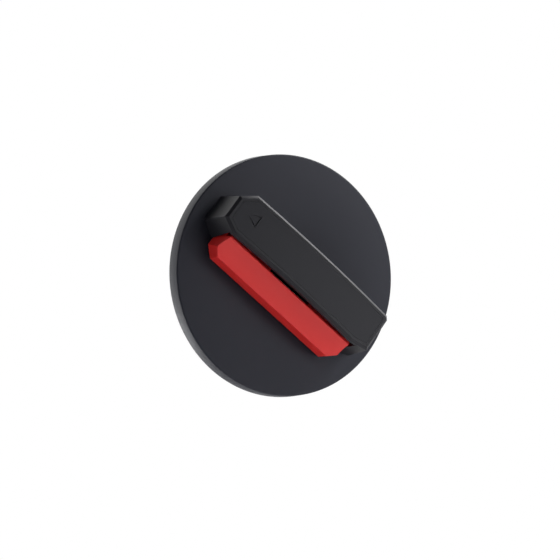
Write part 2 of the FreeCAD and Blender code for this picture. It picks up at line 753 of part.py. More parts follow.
def squeeze_trigger():
    """Moulded bar beside the handle, with a dished finger face, squeezed into the handle to free the latch."""
    body = new_body("trigger_moulding")
    side = sketch_in(body, "YZ_Plane")
    draw_outline(side, [
        (front("trigger_lift"), "-trigger_reach"), (front("trigger_ridge"), "-trigger_reach", "finger_radius"),
        (front("trigger_top"), "-trigger_lip"), (front("trigger_top"), "-trigger_inner"),
        (front("trigger_lift"), "-trigger_inner"),
    ])
    bar = pad(body, side, "trigger_half_length * 2")
    bar.Midplane = True
    ears = sketch_in(body, "XZ_Plane", "disc_thick + trigger_lift + 2")
    ear_reach = "trigger_half_length + ear_length"
    draw_rectangle(ears, f"-({ear_reach})", ear_reach, "-(hollow_half_width - ear_gap)", "-trigger_inner")
    pad(body, ears, "trigger_step - trigger_lift - 3")
    step = sketch_in(body, "XZ_Plane", "disc_thick + trigger_step")
    draw_rectangle(step, f"-({ear_reach})", ear_reach, "-(trigger_lip - trigger_lip_thick)", "0")
    pocket(body, step, "trigger_top", outwards=True)

    corners = sketch_in(body, "XZ_Plane", "disc_thick")
    for sign in ("-", ""):
        inner = f"{sign}(trigger_half_length - trigger_cut_long)"
        outer = f"{sign}trigger_half_length"
        draw_outline(corners, [
            (inner, "-trigger_reach"), (outer, "-trigger_reach"), (outer, "-trigger_reach + trigger_cut_wide"),
        ])
    pocket(body, corners, "trigger_top * 2", outwards=True)
    ends = sketch_in(body, "XY_Plane", "-hollow_half_width - 0.5")
    for sign in ("-", ""):
        foot = f"{sign}trigger_half_length"
        draw_outline(ends, [
            (foot, front("trigger_lift")), (foot, front("trigger_top + 1")),
            (f"{sign}(trigger_half_length - trigger_end_slant)", front("trigger_top + 1")),
        ])
    pocket(body, ends, "trigger_reach")
    relief = sketch_in(body, "XZ_Plane", "disc_thick")
    draw_rectangle(relief, "-relief_half", "relief_half", "-latch_outer", "0")
    pocket(body, relief, "trigger_top * 2", outwards=True)
    core = sketch_in(body, "XZ_Plane", "disc_thick")
    draw_rectangle(core, "-core_half_length", "core_half_length",
                   "-trigger_reach + core_wall", "-trigger_reach + core_wall + core_width")
    pocket(body, core, "core_height", outwards=True)

    bores = (("guide_radius + guide_fit", "guide_pin_length - guide_grip + squeeze_travel + 0.6"),
             ("spring_pocket", "guide_boss_face + spring_pocket_depth + trigger_inner - guide_boss_face"))
    for radius, depth in bores:
        holes = sketch_in(body, "XY_Plane", "-guide_boss_face")
        for x in GUIDE_PLACES:
            draw_circle(holes, radius, x, front("guide_height"))
        pocket(body, holes, depth)
    threads = sketch_in(body, "XY_Plane", "-latch_outer")
    for x in LATCH_SCREW_PLACES:
        draw_circle(threads, "latch_screw_core", x, front("latch_screw_height"))
    pocket(body, threads, "latch_screw_length - latch_thick + 0.3")
    return node(on_handle(body), "squeeze_trigger")


def latch_screw(x, grow):
    """Countersunk screw through the latch plate; grow widens it to the hole it passes through."""
    head = doc.addObject("Part::Cone", "screw_head")
    bind(head, {
        "Radius1": f"latch_screw_core + {grow}", "Radius2": f"latch_screw_head + {grow}",
        "Height": "latch_screw_sink",
    })
    place(head, x, front("latch_screw_height"), "-(latch_outer - latch_thick) - latch_screw_sink")
    start = "-(latch_outer - latch_thick) - latch_screw_length"
    shank = cylinder(f"latch_screw_core + {grow}", "latch_screw_length - latch_screw_sink / 2", UPRIGHT,
                     x, front("latch_screw_height"), start)
    return fuse(head, shank)


def latch_plate():
    """Stamped steel latch: two screwed wings, a leg down through the hub's slot and a tooth under the disc."""
    body = new_body("latch_blank")
    plate = sketch_in(body, "XY_Plane", "-latch_outer")
    foot = f"{PLATE_BACK} + tooth_gap + tooth_thick"
    low, high = front("latch_wing_low"), front("latch_wing_high")
    draw_outline(plate, [
        ("-latch_leg", foot), ("-latch_leg", low), ("-latch_wing", low), ("-latch_wing", high),
        ("latch_wing", high), ("latch_wing", low), ("latch_leg", low), ("latch_leg", foot),
    ])
    pad(body, plate, "latch_thick")
    tooth = sketch_in(body, "XZ_Plane", f"-({PLATE_BACK} + tooth_gap)")
    draw_rectangle(tooth, "-tooth_half", "tooth_half", "-tooth_reach", "-latch_outer")
    pad(body, tooth, "tooth_thick", against=True)
    holes = [latch_screw(x, "0.1") for x in LATCH_SCREW_PLACES]
    return node(on_handle(cut(body, *holes)), "latch_plate")


def latch_screws():
    return node(on_handle(group([latch_screw(x, "0") for x in LATCH_SCREW_PLACES])), "latch_screws")


def guide_pins():
    """Dowels pressed into the grip, on which the trigger slides."""
    start = "-(guide_boss_face + guide_pin_length - guide_grip)"
    pins = [cylinder("guide_radius", "guide_pin_length", UPRIGHT, x, front("guide_height"), start)
            for x in GUIDE_PLACES]
    return node(on_handle(group(pins)), "guide_pins")


def return_spring(name, x):
    """Compression spring round a guide pin, between the grip's guide boss and the trigger's pocket."""
    wire, mean = value("spring_wire"), value("spring_mean")
    low = -value("trigger_inner + spring_pocket_depth") + value("spring_wire + spring_end_gap")
    high = -value("guide_boss_face") - value("spring_wire + spring_end_gap")
    turns = value("spring_turns")
    helix = Part.makeHelix((high - low) / turns, high - low, mean)
    section = Part.Circle(FreeCAD.Vector(mean, 0, 0), FreeCAD.Vector(0, 1, 0), wire)
    coil = Part.Wire(helix).makePipeShell([Part.Wire(section.toShape())], True, True)
    spring = doc.addObject("Part::Feature", name)
    spring.Shape = coil
    turn = FreeCAD.Rotation(FreeCAD.Vector(0, 1, 0), value("rest_angle"))
    foot = FreeCAD.Vector(value(x), value(front("guide_height")), low)
    spring.Placement = FreeCAD.Placement(turn.multVec(foot), turn)
    return node(spring, name)


# ---------------------------------------------------------------- stem, stops and seals


def stem():
    """Bronze stem: square drive in front, sealed round shaft, shoulder inside the body and a tang in the ball."""
    body = new_body("stem_bar")
    shoulder = "neck_floor + neck_floor_thick + thrust_thick"
    shoulder_end = f"{shoulder} + shoulder_thick"
    groove_floor, half = "stem_radius + stem_fit - stem_seal_radius * 2 - 0.1", "stem_seal_radius * 1.15"
    turn_profile(body, "Revolution", [
        ("0", "stem_round_start"), ("stem_radius", "stem_round_start"),
        ("stem_radius", f"stem_seal_place - {half}"), (groove_floor, f"stem_seal_place - {half}"),
        (groove_floor, f"stem_seal_place + {half}"), ("stem_radius", f"stem_seal_place + {half}"),
        ("stem_radius", shoulder), ("shoulder_radius", shoulder),
        ("shoulder_radius", shoulder_end), ("0", shoulder_end),
    ])
    square = sketch_in(body, "XZ_Plane", "-stem_round_start")
    draw_rectangle(square, "-drive_half", "drive_half", "-drive_half", "drive_half")
    pad(body, square, "stem_round_start + disc_thick + stem_end_height")
    tang = sketch_in(body, "XZ_Plane", f"-({shoulder_end})")
    draw_rectangle(tang, "-tang_half_thick", "tang_half_thick", "-tang_half_length", "tang_half_length")
    pad(body, tang, "tang_depth", against=True)
    thread = sketch_in(body, "XZ_Plane", "disc_thick + stem_end_height")
    draw_circle(thread, "screw_bore")
    pocket(body, thread, "screw_length")
    return node(on_handle(body), "stem")


def stop_plate():
    """Washer keyed to the stem, whose lug meets the ends of a sector in the flange."""
    body = new_body("stop_washer")
    start = "-stop_start"
    disc = sketch_in(body, "XZ_Plane", start)
    draw_circle(disc, "stop_radius")
    pad(body, disc, "stop_thick", against=True)
    lug = sketch_in(body, "XZ_Plane", start)
    draw_rectangle(lug, "-lug_half", "lug_half", "0", "lug_reach")
    pad(body, lug, "stop_thick", against=True)
    hole = sketch_in(body, "XZ_Plane", start)
    half = "drive_half + drive_gap"
    draw_rectangle(hole, f"-({half})", half, f"-({half})", half)
    pocket(body, hole, "stop_thick")
    return node(on_handle(body), "stop_plate")


def gland_nut():
    """Threaded nut with a key slot across its face, which presses the packing."""
    end = "gland_start + gland_thick"
    body = ring("gland_nut", "stem_radius + stem_fit", "gland_bore - gland_thread_gap", "gland_start", end)
    slot = sketch_in(body, "XZ_Plane", "-gland_start")
    draw_rectangle(slot, "-gland_bore", "gland_bore", "-gland_slot_half", "gland_slot_half")
    pocket(body, slot, "gland_slot_depth")
    return node(body, "gland_nut")


def stem_seals():
    """Follower, packing rings, O-ring and thrust washer round the stem."""
    bore, outer = "stem_radius + stem_fit", "packing_bore - gland_thread_gap"
    start = "gland_start + gland_thick"
    node(ring("packing_follower", bore, outer, start, f"{start} + follower_thick"), "packing_follower")
    first = f"{start} + follower_thick"
    count = round(value("packing_rings"))
    share = f"(neck_floor - ({first})) / packing_rings"
    rings = [
        ring("packing", bore, outer, f"{first} + {share} * {k}", f"{first} + {share} * {k + 1} - packing_split")
        for k in range(count)
    ]
    node(group(rings), "stem_packing")
    major = "stem_radius + stem_fit - stem_seal_radius - 0.03"
    node(torus(major, "stem_seal_radius", ALONG_Y, y="stem_seal_place"), "stem_seal")
    floor = "neck_floor + neck_floor_thick"
    node(ring("thrust_washer", bore, "shoulder_radius", f"{floor} + 0.02", f"{floor} + thrust_thick - 0.02"),
         "thrust_washer")


# ---------------------------------------------------------------- valve body and ball


def valve_body():
    """Bronze casting: flange behind the disc, packing neck, barrel with the inlet port and the drain boss."""
    body = new_body("valve_body")
    turn_profile(body, "Revolution", [
        ("0", FLANGE_FRONT), ("flange_radius", FLANGE_FRONT), ("flange_radius", FLANGE_BACK),
        ("neck_radius", FLANGE_BACK), ("neck_radius", "ball_depth"), ("0", "ball_depth"),
    ])
    turn_profile(body, "Revolution", [
        ("0", "-port_end"), ("port_radius", "-port_end"), ("port_radius", "-barrel_end"),
        ("barrel_radius", "-barrel_end + (barrel_radius - port_radius)"), ("barrel_radius", "barrel_end"),
        ("0", "barrel_end"),
    ], "XZ_Plane", "-ball_depth")
    drain = sketch_in(body, "YZ_Plane", "chamber_radius + 1")
    draw_circle(drain, "drain_boss", "ball_depth", "0")
    pad(body, drain, "drain_face - chamber_radius - 1")

    turn_profile(body, "Groove", [
        ("0", f"{FLANGE_FRONT} - 0.1"), ("gland_bore", f"{FLANGE_FRONT} - 0.1"), ("gland_bore", "gland_bore_end"),
        ("packing_bore", "gland_bore_end"), ("packing_bore", "neck_floor"),
        ("stem_radius + stem_fit", "neck_floor"), ("stem_radius + stem_fit", "neck_floor + neck_floor_thick"),
        ("thrust_bore", "neck_floor + neck_floor_thick"), ("thrust_bore", "ball_depth - chamber_radius / 2"),
        ("0", "ball_depth - chamber_radius / 2"),
    ])
    turn_profile(body, "Groove", [
        ("0", "-port_end - 0.1"), ("port_thread", "-port_end - 0.1"),
        ("port_thread", "-port_end + port_thread_length"), ("water_bore", "-port_end + port_thread_length"),
        ("water_bore", "-seat_back"), ("seat_outer + seat_gap", "-seat_back"),
        ("seat_outer + seat_gap", "-seat_face"), ("chamber_radius", "-seat_face"),
        ("chamber_radius", "adapter_start"), ("adapter_bore", "adapter_start"),
        ("adapter_bore", "barrel_end + 0.1"), ("0", "barrel_end + 0.1"),
    ], "XZ_Plane", "-ball_depth")
    outlet = sketch_in(body, "YZ_Plane", "drain_face")
    draw_circle(outlet, "drain_bore", "ball_depth", "0")
    pocket(body, outlet, "drain_face - chamber_radius + 1")

    sector = sketch_in(body, "XZ_Plane", "flange_recess")
    sweep = "(rest_angle + 1 * asin(lug_half / gland_bore) / 1deg + lug_play)"
    radius = "lug_reach + lug_gap"
    corners = [(f"({radius}) * sin((rest_angle {sign} {sweep}) * 1deg)",
                f"({radius}) * cos((rest_angle {sign} {sweep}) * 1deg)") for sign in ("-", "+")]
    draw_outline(sector, [("0", "0"), (*corners[0], f"-({radius})"), corners[1]])
    pocket(body, sector, "flange_recess + stop_start + stop_thick + stop_gap")
    holes = sketch_in(body, "XZ_Plane", "flange_recess")
    for x, z in BONNET_PLACES:
        draw_circle(holes, "bonnet_screw_hole", x, z)
    pocket(body, holes, "flange_thick")
    return node(body, "valve_body")


def bonnet_screws():
    """Cap screws from behind, through the flange into the disc's small inserts."""
    screws = []
    for x, z in BONNET_PLACES:
        head = cylinder("bonnet_head_radius", "bonnet_head_height", ALONG_Y, x, FLANGE_BACK, z)
        shank = cylinder("bonnet_screw_core", "flange_thick + bonnet_screw_reach", ALONG_Y,
                         x, "-flange_recess - bonnet_screw_reach", z)
        socket = hexagon_bar("bonnet_socket", "bonnet_head_height / 2", ALONG_Y, x,
                             f"{FLANGE_BACK} + bonnet_head_height / 2", z)
        screws.append(cut(fuse(head, shank), socket))
    return node(group(screws), "bonnet_screws")


def ball():
    """Ball with the water bore across the handle's slot and a slot for the stem's tang."""
    half_width = "sqrt(ball_radius^2 - water_bore^2)"
    band = turned("ball_band", [
        ("water_bore", f"-{half_width}", "ball_radius"), ("water_bore", half_width),
    ], "XZ_Plane")
    place(band, y="ball_depth", turn=ALONG_X)
    slot = doc.addObject("Part::Box", "slot")
    top = "(neck_floor + neck_floor_thick + thrust_thick + shoulder_thick)"
    bind(slot, {
        "Length": "(tang_half_thick + tang_gap) * 2",
        "Width": f"{top} + tang_depth + 0.4 - ball_depth + ball_radius + 1",
        "Height": "ball_radius * 2",
    })
    place(slot, "-(tang_half_thick + tang_gap)", "ball_depth - ball_radius - 1", "-ball_radius")
    return node(on_handle(cut(band, slot)), "ball")


def seat(name, turn):
    """PTFE seat whose face follows the ball."""
    reach = "(ball_radius + ball_fit)"
    inner = "water_bore + 0.1"
    body = turned(name, [
        (inner, "-seat_back + seat_gap"), ("seat_outer", "-seat_back + seat_gap"),
        ("seat_outer", "-seat_face - seat_gap"),
        (f"sqrt({reach}^2 - (seat_face + seat_gap)^2)", "-seat_face - seat_gap", f"-{reach}"),
        (inner, f"-sqrt({reach}^2 - ({inner})^2)"),
    ], "XZ_Plane")
    place(body, y="ball_depth", turn=turn)
    return node(body, name)


def end_adapter():
    """Screwed end with the outlet port, which holds the outlet seat and the ball in the barrel."""
    body = new_body("end_adapter")
    shank = "adapter_bore - adapter_thread_gap"
    groove_end = "barrel_end - adapter_seal_inset + adapter_seal_radius * 1.15"
    groove_start = "barrel_end - adapter_seal_inset - adapter_seal_radius * 1.15"
    groove_floor = "adapter_bore - adapter_seal_radius * 2 - 0.1"
    turn_profile(body, "Revolution", [
        ("water_bore", "seat_back"), ("seat_outer + seat_gap", "seat_back"),
        ("seat_outer + seat_gap", "adapter_start + 0.1"), (shank, "adapter_start + 0.1"),
        (shank, groove_start), (groove_floor, groove_start), (groove_floor, groove_end),
        (shank, groove_end), (shank, "barrel_end + 0.1"), ("port_radius", "barrel_end + 0.1"),
        ("port_radius", "port_end"), ("port_thread", "port_end"),
        ("port_thread", "port_end - port_thread_length"), ("water_bore", "port_end - port_thread_length"),
    ], "XZ_Plane", "-ball_depth")
    collar = sketch_in(body, "XY_Plane", "barrel_end + 0.1")
    draw_hexagon(collar, "barrel_radius * sqrt(3) / 2", "0", "ball_depth")
    draw_circle(collar, "port_thread + 1", "0", "ball_depth")
    pad(body, collar, "adapter_collar")
    place(body)
    node(body, "end_adapter")
    major = "adapter_bore - adapter_seal_radius - 0.05"
    seal = torus(major, "adapter_seal_radius", UPRIGHT, y="ball_depth", z="barrel_end - adapter_seal_inset")
    return node(seal, "adapter_seal")


def drain_plug():
    """Hexagon plug and its sealing washer in the barrel's side."""
    washer_end = "drain_face + plug_washer_thick"
    head = hexagon_bar("plug_half_flats", "plug_head_height", ALONG_X, washer_end, "ball_depth", "0")
    shank = cylinder("drain_bore - plug_thread_gap", f"{washer_end} - chamber_radius", ALONG_X,
                     "chamber_radius", "ball_depth", "0")
    node(fuse(head, shank), "drain_plug")
    disc = cylinder("plug_washer_outer", "plug_washer_thick", ALONG_X, "drain_face", "ball_depth", "0")
    hole = cylinder("drain_bore", "plug_washer_thick", ALONG_X, "drain_face", "ball_depth", "0")
    node(cut(disc, hole), "drain_washer")


# ---------------------------------------------------------------- build, check and export

cover_disc()
threaded_inserts("panel_inserts", PANEL_PLACES, "insert_outer", "insert_bore", "insert_length", "0")
threaded_inserts("bonnet_inserts", BONNET_PLACES, "small_insert_outer", "small_insert_bore",
                 "small_insert_length", "flange_recess")
panel_gasket()
index_ring()
handle_grip()
arrow_cover()
drive_insert()
handle_fastening()
squeeze_trigger()
latch_plate()
latch_screws()
guide_pins()
return_spring("arrow_end_spring", "-guide_span")
return_spring("tail_end_spring", "guide_span")
stem()
stop_plate()
gland_nut()
stem_seals()
valve_body()
bonnet_screws()
ball()
seat("inlet_seat", UPRIGHT)
seat("outlet_seat", FreeCAD.Rotation(FreeCAD.Vector(0, 1, 0), 180))
end_adapter()
drain_plug()
doc.recompute()

for item in doc.Objects:
    if {"Invalid", "Error"} & set(item.State):
        raise RuntimeError(f"{item.Label} failed to rebuild: {item.State}")
os.makedirs("parts", exist_ok=True)
for item in NODES:
    if item.Shape.isNull() or not item.Shape.isValid() or not item.Shape.Solids:
        raise RuntimeError(f"{item.Label} has no valid solid")
    item.Shape.exportStep(f"parts/{item.Label}.step")
    box = item.Shape.BoundBox
    print(f"{item.Label}: {len(item.Shape.Solids)} solid(s), {item.Shape.Volume:.1f} mm3, "
          f"x {box.XMin:.2f}..{box.XMax:.2f} y {box.YMin:.2f}..{box.YMax:.2f} z {box.ZMin:.2f}..{box.ZMax:.2f}")
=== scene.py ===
"""Panel seacock: a quarter-turn valve behind a round cover disc, with a two-part turning handle."""
import math

import bmesh
import bpy
import numpy as np
from mathutils import Matrix


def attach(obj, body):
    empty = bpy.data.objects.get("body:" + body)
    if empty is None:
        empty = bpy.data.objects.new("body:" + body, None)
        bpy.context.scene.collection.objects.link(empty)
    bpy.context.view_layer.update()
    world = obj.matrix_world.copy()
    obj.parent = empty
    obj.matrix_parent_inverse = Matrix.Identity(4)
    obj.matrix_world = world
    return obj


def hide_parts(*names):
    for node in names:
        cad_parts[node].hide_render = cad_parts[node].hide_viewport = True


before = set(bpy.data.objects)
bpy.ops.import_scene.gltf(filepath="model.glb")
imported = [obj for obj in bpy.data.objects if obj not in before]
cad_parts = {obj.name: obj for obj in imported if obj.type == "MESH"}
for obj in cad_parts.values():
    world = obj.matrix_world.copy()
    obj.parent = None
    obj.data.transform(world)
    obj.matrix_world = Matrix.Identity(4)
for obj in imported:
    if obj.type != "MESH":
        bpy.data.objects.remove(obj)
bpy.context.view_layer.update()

MM = 0.001
CENTRE = np.zeros(3)
WHITE = (1.0, 1.0, 1.0)


# ---------------------------------------------------------------- materials
class Field:
    """One output in a material's tree. Arithmetic on it adds Math nodes."""

    def __init__(self, tree, socket):
        self.tree, self.socket = tree, socket

    def make(self, kind, settings=None, sockets=None, out=0):
        """Add a node: its settings are set first, then the numbers or links of its sockets.
        Gives back its output, or the node itself when it has none."""
        node = self.tree.nodes.new(kind)
        for key, setting in (settings or {}).items():
            setattr(node, key, setting)
        for key, given in (sockets or {}).items():
            if isinstance(given, Field):
                self.tree.links.new(given.socket, node.inputs[key])
            else:
                node.inputs[key].default_value = given
        return Field(self.tree, node.outputs[out]) if len(node.outputs) else node

    def sum_up(self, operation, first, second=0.0):
        return self.make("ShaderNodeMath", {"operation": operation}, {0: first, 1: second})

    def __add__(self, other):
        return self.sum_up("ADD", self, other)

    def __sub__(self, other):
        return self.sum_up("SUBTRACT", self, other)

    def __rsub__(self, other):
        return self.sum_up("SUBTRACT", other, self)

    def __mul__(self, other):
        return self.sum_up("MULTIPLY", self, other)

    __radd__, __rmul__ = __add__, __mul__

    def between(self, low, high):
        """0 below low, 1 above high, smooth between."""
        return self.make(
            "ShaderNodeMapRange",
            {"interpolation_type": "SMOOTHSTEP"},
            {"Value": self, "From Min": low, "From Max": high},
        )

    def noise(self, scale, detail=3.0, rough=0.5):
        return self.make(
            "ShaderNodeTexNoise",
            sockets={"Vector": self, "Scale": scale, "Detail": detail, "Roughness": rough},
        )

    def grains(self, scale):
        return self.make("ShaderNodeTexVoronoi", sockets={"Vector": self, "Scale": scale})

    def tint(self, low, high):
        """A colour between two, by this field."""
        return self.make(
            "ShaderNodeMix",
            {"data_type": "RGBA"},
            {"Factor": self, 6: (*low, 1.0), 7: (*high, 1.0)},
            out=2,
        )


def finish(name, paint, **shader):
    """A material: paint(place) gives its changing inputs, its relief and the relief's depth in
    metres; shader holds the plain numbers."""
    material = bpy.data.materials.new(name)
    material.use_nodes = True
    tree = material.node_tree
    tree.nodes.clear()
    place = Field(tree, None).make("ShaderNodeTexCoord", out=3)
    changing = paint(place)
    bump, depth = changing.pop("relief"), changing.pop("depth")
    changing["Normal"] = place.make(
        "ShaderNodeBump", sockets={"Height": bump, "Distance": depth, "Strength": 1.0}
    )
    surface = place.make("ShaderNodeBsdfPrincipled", sockets={**changing, **shader})
    place.make("ShaderNodeOutputMaterial", sockets={"Surface": surface})
    return material


def spark_eroded(dark, light, rough, grain=2600.0):
    """Moulded plastic from a spark-eroded tool: fine even grain, slight cloudiness."""

    def paint(place):
        cloud = place.noise(38.0, 3.0)
        fine = place.noise(grain, 2.0, 0.6)
        return {
            "Base Color": (cloud * 0.8 + fine * 0.2).tint(dark, light),
            "Roughness": rough - 0.05 + fine * 0.1 + cloud * 0.04,
            "relief": fine + place.grains(grain * 0.6) * 0.5,
            "depth": 0.01 * MM,
        }

    return paint


def sand_cast(dark, light, rough):
    """Sand-cast bronze: pitted skin, dull brown in the pits, brighter on the high spots."""

    def paint(place):
        cloud = place.noise(60.0, 4.0)
        pits = place.grains(900.0)
        skin = place.noise(700.0, 4.0, 0.65)
        return {
            "Base Color": (cloud * 0.6 + skin * 0.5).between(0.3, 0.8).tint(dark, light),
            "Roughness": rough + 0.25 - skin * 0.3,
            "relief": skin + pits * 0.6 + cloud,
            "depth": 0.12 * MM,
        }

    return paint


def turned_metal(dark, light, rough):
    """Machined metal: fine tool marks and a faint film."""

    def paint(place):
        film = place.noise(90.0, 3.0)
        marks = place.noise(2400.0, 2.0)
        return {
            "Base Color": film.tint(dark, light),
            "Roughness": rough - 0.05 + film * 0.1 + marks * 0.06,
            "relief": marks,
            "depth": 0.004 * MM,
        }

    return paint


DULL = {"Specular IOR Level": 0.32}
SATIN = {"Specular IOR Level": 0.45}
METAL = {"Metallic": 1.0}
PAINTS = {
    "disc_plastic": (spark_eroded((0.0125, 0.0135, 0.0230), (0.0155, 0.0165, 0.0270), 0.6), DULL),
    "grip_plastic": (spark_eroded((0.0085, 0.0085, 0.0125), (0.0110, 0.0110, 0.0155), 0.54), DULL),
    "cover_plastic": (spark_eroded((0.0095, 0.0095, 0.0140), (0.0120, 0.0120, 0.0170), 0.6), DULL),
    "red_plastic": (spark_eroded((0.70, 0.021, 0.020), (0.76, 0.026, 0.024), 0.44), SATIN),
    "bronze": (sand_cast((0.20, 0.105, 0.045), (0.42, 0.26, 0.12), 0.38), METAL),
    "brass": (turned_metal((0.52, 0.36, 0.15), (0.62, 0.45, 0.20), 0.28), METAL),
    "stainless": (turned_metal((0.50, 0.50, 0.49), (0.60, 0.60, 0.59), 0.25), METAL),
    "spring_steel": (turned_metal((0.40, 0.40, 0.41), (0.50, 0.50, 0.51), 0.3), METAL),
    "ball_chrome": (turned_metal((0.62, 0.63, 0.65), (0.68, 0.69, 0.70), 0.12), METAL),
    "seal_rubber": (
        spark_eroded((0.010, 0.010, 0.010), (0.016, 0.016, 0.016), 0.7, grain=1500.0), {}
    ),
    "seal_plastic": (
        spark_eroded((0.72, 0.71, 0.68), (0.78, 0.77, 0.74), 0.5, grain=1500.0), {}
    ),
}
FINISHES = {name: finish(name, paint, **shader) for name, (paint, shader) in PAINTS.items()}


# ---------------------------------------------------------------- camera, light and floor
AZIMUTH, ELEVATION, ROLL = map(math.radians, (-27.771, -0.765, -6.097))
CAMERA_REACH = 1.0
LENS, SENSOR_WIDTH = 128.8, 36.0
SHIFT_X, SHIFT_Y = 0.0005, -0.00757
SURROUND_BACK, SURROUND_FRONT = 2.5, 0.05
FLOOR_RADIUS, FLOOR_HEIGHT, FLOOR_SIDES = 1.2, -0.45, 64
SOFT_BOXES = {
    # name: place in metres, side in metres, power in watts
    "key_box": ((1.30, -0.95, -0.80), 0.8, 20.0),
    "front_box": ((0.70, -1.50, 0.15), 1.0, 8.0),
    "edge_box": ((1.35, -0.16, 0.85), 0.5, 36.0),
    "left_box": ((-1.5, -0.08, 0.45), 0.8, 3.5),
    "rim_box": ((-0.55, 1.3, -0.90), 1.0, 84.0),
}


def placed(name, data, across, upward, back, place):
    """An object in the scene whose own axes lie along three directions, at a place."""
    thing = bpy.data.objects.new(name, data)
    bpy.context.scene.collection.objects.link(thing)
    rows = np.eye(4)
    rows[:3, :4] = np.stack([across, upward, back, place], axis=1)
    thing.matrix_world = Matrix(rows.tolist())
    return thing


def put_camera():
    """Camera on a sphere round the origin, turned about its own line of sight by ROLL."""
    back = np.array(
        [
            math.sin(AZIMUTH) * math.cos(ELEVATION),
            -math.cos(AZIMUTH) * math.cos(ELEVATION),
            math.sin(ELEVATION),
        ]
    )
    right = np.array([math.cos(AZIMUTH), math.sin(AZIMUTH), 0.0])
    up = np.cross(back, right)
    across = math.cos(ROLL) * right + math.sin(ROLL) * up
    upward = -math.sin(ROLL) * right + math.cos(ROLL) * up
    data = bpy.data.cameras.new("camera")
    data.lens, data.sensor_width = LENS, SENSOR_WIDTH
    data.shift_x, data.shift_y = SHIFT_X, SHIFT_Y
    data.clip_start, data.clip_end = 0.01, 50.0
    camera = placed("camera", data, across, upward, back, back * CAMERA_REACH)
    bpy.context.scene.camera = camera


def soft_box(name, place, side, power):
    """A square soft light at a place, facing the centre of the object."""
    data = bpy.data.lights.new(name, "AREA")
    data.shape, data.size, data.energy, data.color = "SQUARE", side, power, WHITE
    place = np.array(place)
    back = (place - CENTRE) / np.linalg.norm(place - CENTRE)
    right = np.cross([0.0, 0.0, 1.0], back)
    right = right / np.linalg.norm(right)
    placed(name, data, right, np.cross(back, right), back, place)


def put_light():
    """Bright surround behind the object, dim in front, and the soft boxes. Seen directly the
    surround is white."""
    world = bpy.data.worlds.new("studio")
    bpy.context.scene.world = world
    world.use_nodes = True
    tree = world.node_tree
    tree.nodes.clear()
    start = Field(tree, None)
    seen = start.make("ShaderNodeLightPath")
    heading = start.make("ShaderNodeTexCoord")
    depth = start.make("ShaderNodeSeparateXYZ", sockets={"Vector": heading}, out=1)
    surround = depth.between(0.3, 0.9) * (SURROUND_BACK - SURROUND_FRONT) + SURROUND_FRONT
    strength = seen + (1.0 - seen) * surround
    sky = start.make(
        "ShaderNodeBackground", sockets={"Color": (*WHITE, 1.0), "Strength": strength}
    )
    start.make("ShaderNodeOutputWorld", sockets={"Surface": sky})
    for name, (place, side, power) in SOFT_BOXES.items():
        soft_box(name, place, side, power)


def put_floor():
    """Round floor far below the object: one flat face with x = r cos t, y = r sin t."""
    t = np.linspace(0.0, 2.0 * math.pi, FLOOR_SIDES, endpoint=False)
    level = np.full(FLOOR_SIDES, FLOOR_HEIGHT)
    ring = np.stack([FLOOR_RADIUS * np.cos(t), FLOOR_RADIUS * np.sin(t), level], axis=1)
    mesh = bpy.data.meshes.new("floor")
    mesh.from_pydata(ring.tolist(), [], [list(range(FLOOR_SIDES))])
    floor = bpy.data.objects.new("floor", mesh)
    bpy.context.scene.collection.objects.link(floor)
    paint = spark_eroded((0.86, 0.86, 0.86), (0.88, 0.88, 0.88), 0.6, grain=400.0)
    mesh.materials.append(finish("floor_paint", paint))


put_camera()
put_light()
put_floor()
bpy.context.scene.view_settings.view_transform = "Standard"


# ---------------------------------------------------------------- pieces
WELD = 0.002 * MM
FLAT_WITHIN = math.radians(0.6)
EASED_FROM = math.radians(28.0)
FINE_SHARE = 0.2
BEVEL_STEPS = 3
# the handle's cover bed, in mm: across and along the bar, and its height in front of the panel
BED_HALF_WIDTH, BED_ARROW_END, BED_TAIL_END, BED_HEIGHT = 9.6, 48.2, 47.2, 26.5
# turned pieces: points on each rounded corner, and points round the disc and round a boss
ARC_STEPS, DISC_STEPS, BOSS_STEPS = 5, 256, 40
PANEL_PITCH, PANEL_ANGLE = 48.0, 45.0
DISC_FRONT, PLATE_BACK, FLANGE_SEAT, GASKET_FLOOR, BOSS_FLOOR = -8.0, -5.0, -1.0, -1.6, -5.8
HUB_HOLE, INDEX_SEAT, FLANGE_RECESS, LAND_OUTER, RIM_INNER = 12.8, 19.1, 34.6, 42.0, 54.5
GASKET_INNER, GASKET_OUTER, DISC_RADIUS, BACK_RADIUS = 55.8, 58.4, 60.0, 60.5
INSERT_HOLE, BOSS_RADIUS = 3.2, 6.6
DISC_OUTLINE = [
    # distance from the axis, y, and the radius of the corner, in mm
    (HUB_HOLE, DISC_FRONT, 0.4), (DISC_RADIUS, DISC_FRONT, 0.8), (BACK_RADIUS, 0.0, 0.25),
    (GASKET_OUTER, 0.0, 0.1), (GASKET_OUTER, GASKET_FLOOR, 0.1),
    (GASKET_INNER, GASKET_FLOOR, 0.1), (GASKET_INNER, 0.0, 0.1),
    (RIM_INNER, 0.0, 0.2), (RIM_INNER, PLATE_BACK, 0.8),
    (LAND_OUTER, PLATE_BACK, 0.8), (LAND_OUTER, 0.0, 0.2),
    (FLANGE_RECESS, 0.0, 0.15), (FLANGE_RECESS, FLANGE_SEAT, 0.15),
    (INDEX_SEAT, FLANGE_SEAT, 0.1), (INDEX_SEAT, PLATE_BACK, 0.1), (HUB_HOLE, PLATE_BACK, 0.1),
]
BOSS_OUTLINE = [
    (INSERT_HOLE, 0.0, 0.2), (INSERT_HOLE, BOSS_FLOOR, 0.0),
    (BOSS_RADIUS, BOSS_FLOOR, 0.0), (BOSS_RADIUS, 0.0, 0.4),
]
